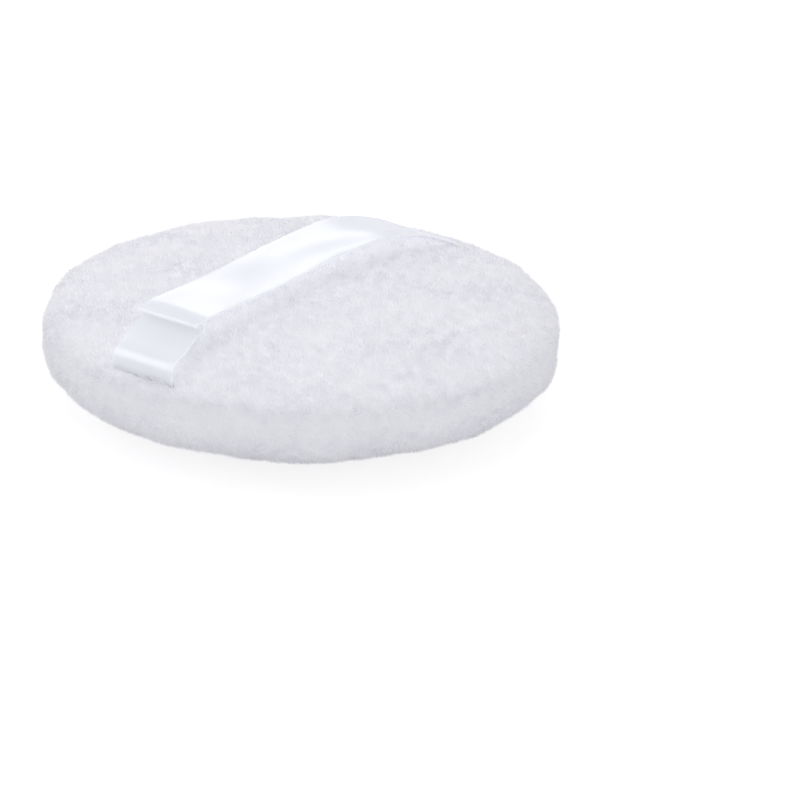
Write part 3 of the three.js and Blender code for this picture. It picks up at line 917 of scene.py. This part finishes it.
def gloss_lamp(name, place, size, power):
    """A softbox that shows only as a gleam on the satin."""
    lamp = soft_lamp(name, place, size, power, GLEAM_WHITE)
    lamp.visible_diffuse = False
    lamp.visible_transmission = False


def aim_camera():
    """A camera that sees the puff where the photograph has it."""
    azimuth = math.radians(VIEW_AZIMUTH)
    elevation = math.radians(VIEW_ELEVATION)
    roll = math.radians(VIEW_ROLL)
    backward = Vector((
        math.sin(azimuth) * math.cos(elevation),
        -math.cos(azimuth) * math.cos(elevation),
        math.sin(elevation),
    ))
    level = Vector((math.cos(azimuth), math.sin(azimuth), 0))
    right = level * math.cos(roll) + backward.cross(level) * math.sin(roll)
    up = backward.cross(right)
    aside = (FRAME_PIXELS / 2 - PUFF_PIXEL[0]) / PIXELS_PER_METRE
    below = (FRAME_PIXELS / 2 - PUFF_PIXEL[1]) / PIXELS_PER_METRE
    target = Vector((0, 0, SEAM_Z)) + right * aside - up * below
    data = bpy.data.cameras.new("camera")
    data.sensor_width = SENSOR_WIDTH
    data.lens = SENSOR_WIDTH * VIEW_DISTANCE * PIXELS_PER_METRE / FRAME_PIXELS
    camera = add_object("camera", data)
    turned = Matrix((right, up, backward)).transposed().to_4x4()
    camera.matrix_world = Matrix.Translation(target + backward * VIEW_DISTANCE) @ turned
    scene.camera = camera


# The puff

plush = plush_material()
undercoat = undercoat_material()

back = cover_shell("back_plush", 1, BACK_CROWN, 0, undercoat)
front = cover_shell("front_plush", -1, FRONT_CROWN, REST_FLAT_DEPTH, undercoat)
cut(back, [
    slot_cutter(slack_half(), -1, "slack_slot"),
    slot_cutter(snug_half(), 1, "snug_slot"),
    hole_cutter("holes"),
])
cut(front, [hole_cutter("holes")])
for shell, node in ((back, "back_cover"), (front, "front_cover")):
    shell.data.shade_smooth()
    shell.data.set_sharp_from_angle(angle=SHARP_TURN)
    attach(shell, "puff")
    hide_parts(node)

pile = cover_pile("back_pile", 1, BACK_CROWN, 0, BACK_SEED, plush)
pile += cover_pile("front_pile", -1, FRONT_CROWN, REST_FLAT_DEPTH, FRONT_SEED, plush)
for piece in pile:
    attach(piece, "puff")

ribbon, ribbon_length = ribbon_piece(satin_material())
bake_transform(ribbon)
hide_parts("ribbon_handle")

wadding = wadding_piece(wadding_material())
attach(wadding, "puff")
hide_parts("filling")

thread = thread_material()
for node in ("seam_thread", "closing_thread"):
    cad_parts[node].data.materials.clear()
    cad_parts[node].data.materials.append(thread)

# Studio and camera

studio_floor()
studio_world()
soft_lamp("key", place=(0.1, 0.1, 0.8), size=0.7, power=1.9, colour=PURE_WHITE)
soft_lamp("fill", place=(-0.45, -0.72, 0.15), size=0.7, power=1.4, colour=COOL_WHITE)
soft_lamp("left", place=(-0.45, 0.62, 0.5), size=0.5, power=1.15, colour=COOL_WHITE)
gloss_lamp("left_gleam", place=(-0.66, 0.52, 0.36), size=0.6, power=5)
gloss_lamp("right_gleam", place=(0.66, 0.51, 0.4), size=0.22, power=0.7)
aim_camera()
scene.view_settings.view_transform = "Standard"
scene.cycles.max_bounces = 48
scene.cycles.diffuse_bounces = 32
scene.cycles.transmission_bounces = 32
